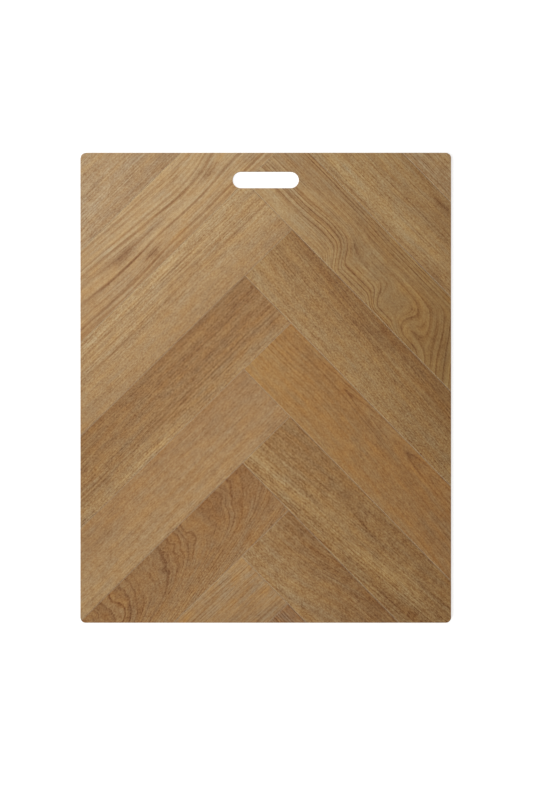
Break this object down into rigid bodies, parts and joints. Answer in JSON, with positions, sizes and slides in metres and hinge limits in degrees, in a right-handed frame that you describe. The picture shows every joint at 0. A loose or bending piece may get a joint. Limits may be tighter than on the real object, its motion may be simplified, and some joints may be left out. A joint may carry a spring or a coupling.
{
  "type": "herringbone vinyl flooring sample board",
  "caption": "Flat rectangular display board of bevelled oak-look vinyl planks laid in a herringbone, with rounded corners and a hand slot near the top edge.",
  "frame": {"origin": "centre of the board's back face, which is the middle of the underside of its bounding box", "axes": "+X to the right across the board as it is seen when held upright, +Y up the board towards the hand slot, +Z out of the laid face"},
  "size_m": [0.56, 0.71, 0.0085],
  "materials": {
    "backing": "plain medium-density fibreboard, sanded, uncoated",
    "oak_print_light": "embossed vinyl with a light tan oak print, low sheen",
    "oak_print_medium": "embossed vinyl with a mid brown oak print, low sheen",
    "oak_print_dark": "embossed vinyl with a warm dark oak print, low sheen"
  },
  "bodies": {
    "root": {"backing_board": "backing", "plank_left_1": "oak_print_light", "plank_left_2": "oak_print_light", "plank_left_3": "oak_print_light", "plank_right_2": "oak_print_light", "plank_left_5": "oak_print_medium", "plank_left_7": "oak_print_medium", "plank_right_1": "oak_print_medium", "plank_right_3": "oak_print_medium", "plank_right_6": "oak_print_medium", "plank_right_7": "oak_print_medium", "plank_left_4": "oak_print_dark", "plank_left_6": "oak_print_dark", "plank_right_4": "oak_print_dark", "plank_right_5": "oak_print_dark", "plank_right_8": "oak_print_dark"}
  },
  "joints": []
}
